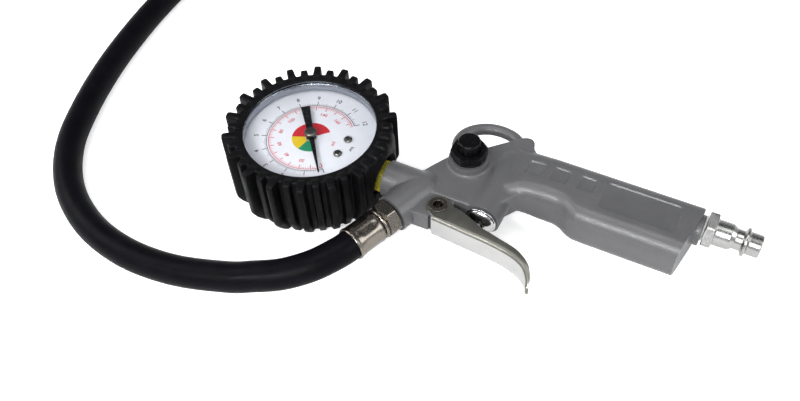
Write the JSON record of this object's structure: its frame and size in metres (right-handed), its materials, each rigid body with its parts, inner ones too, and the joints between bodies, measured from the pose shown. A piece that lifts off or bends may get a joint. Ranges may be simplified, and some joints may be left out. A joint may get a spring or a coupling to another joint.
{
  "type": "hand-held tire inflator gun with dial gauge",
  "caption": "Pistol-grip tire inflator with a rubber-booted dial gauge, squeeze trigger, bleed button, air inlet nipple and a hose ending in a clip-on chuck.",
  "frame": {"origin": "centre of the gauge boot's flat rear face, on the gauge's axis, where the gun lies on a table", "axes": "+Z is the gauge's axis, out of its dial; +X runs along the grip towards the air inlet; +Y points to the hanging ring's side, away from the trigger"},
  "size_m": [0.3358, 0.2379, 0.0361],
  "materials": {
    "cast_paint": "semi-matte grey powder coat on a die casting",
    "black_rubber": "moulded black rubber, soft sheen",
    "hose_rubber": "smooth extruded black rubber",
    "seal_rubber": "matte black seal rubber",
    "black_plastic": "moulded black plastic",
    "clear_plastic": "clear moulded window",
    "white_print": "white dial with printed scales",
    "case_steel": "pressed steel",
    "chrome": "bright chrome plate",
    "nickel": "warm nickel plate",
    "spring_steel": "drawn spring wire",
    "brass": "machined brass",
    "zinc_steel": "stamped zinc-plated steel",
    "ptfe_tape": "white thread-seal tape"
  },
  "bodies": {
    "gun": {"gun_body": "cast_paint", "gauge_boot": "black_rubber", "gauge_case": "case_steel", "bezel_ring": "case_steel", "gauge_lens": "clear_plastic", "gauge_dial": "white_print", "dial_screw_1": "nickel", "dial_screw_2": "nickel", "gauge_socket": "brass", "bourdon_tube": "brass", "tube_tip": "brass", "movement_base": "brass", "movement_cover": "brass", "movement_pillar_1": "brass", "movement_pillar_2": "brass", "movement_pillar_3": "brass", "movement_screw_1": "nickel", "movement_screw_2": "nickel", "hairspring": "spring_steel", "trigger_rivet": "nickel", "valve_plug": "chrome", "valve_seat": "brass", "seat_seal": "seal_rubber", "valve_spring": "spring_steel", "bleed_base": "black_plastic", "bleed_spring": "spring_steel", "inlet_nipple": "chrome", "nipple_tape": "ptfe_tape", "outlet_seal": "seal_rubber", "hose_fitting": "nickel", "hose_ferrule": "nickel", "air_hose": "hose_rubber", "chuck_ferrule": "nickel", "chuck_body": "nickel", "chuck_seal": "seal_rubber", "chuck_pin": "nickel", "chuck_spring": "spring_steel"},
    "trigger": {"trigger": "zinc_steel"},
    "valve_stem": {"valve_plunger": "chrome", "valve_poppet": "brass"},
    "bleed_button": {"bleed_button": "black_plastic", "bleed_seal": "seal_rubber"},
    "pointer": {"gauge_pointer": "black_plastic", "pointer_cap": "black_plastic", "pinion_arbor": "brass"},
    "sector": {"sector_gear": "brass"},
    "link": {"movement_link": "brass"},
    "chuck_lever": {"chuck_lever": "chrome"}
  },
  "joints": [
    {"name": "trigger_squeeze", "type": "hinge", "parent": "gun", "child": "trigger", "pos_m": [0.0654, -0.0084, 0.017], "axis": [0, 0, 1], "range_deg": [0, 12], "stiffness_Nm_per_rad": 3, "springref_deg": -5.73},
    {"name": "plunger_push", "type": "slide", "parent": "gun", "child": "valve_stem", "axis": [0, 1, 0], "range_m": [0, 0.0037], "deforming": ["valve_spring"]},
    {"name": "bleed_press", "type": "slide", "parent": "gun", "child": "bleed_button", "axis": [0, 0, -1], "range_m": [0, 0.002], "stiffness_N_per_m": 1500, "springref_m": -0.001, "deforming": ["bleed_spring"]},
    {"name": "pointer_turn", "type": "hinge", "parent": "gun", "child": "pointer", "pos_m": [0, 0, 0.0283], "axis": [0, 0, -1], "range_deg": [0, 275.2]},
    {"name": "sector_turn", "type": "hinge", "parent": "gun", "child": "sector", "pos_m": [0.0031, 0.01672, 0.0168], "axis": [0, 0, 1], "range_deg": [0, 34.38], "stiffness_Nm_per_rad": 0.002},
    {"name": "link_pull", "type": "slide", "parent": "gun", "child": "link", "axis": [0.2723, 0.9622, 0], "range_m": [0, 0.00385]},
    {"name": "chuck_clip", "type": "hinge", "parent": "gun", "child": "chuck_lever", "pos_m": [-0.045, 0.1463, 0.019], "axis": [0, -1, 0], "range_deg": [0, 15], "stiffness_Nm_per_rad": 1, "springref_deg": -5.73, "deforming": ["chuck_spring"]}
  ],
  "couplings": [
    {"joint": "plunger_push", "follows": "trigger_squeeze", "m_per_rad": 0.0173},
    {"joint": "pointer_turn", "follows": "sector_turn", "ratio": 8},
    {"joint": "link_pull", "follows": "sector_turn", "m_per_rad": 0.0064}
  ]
}
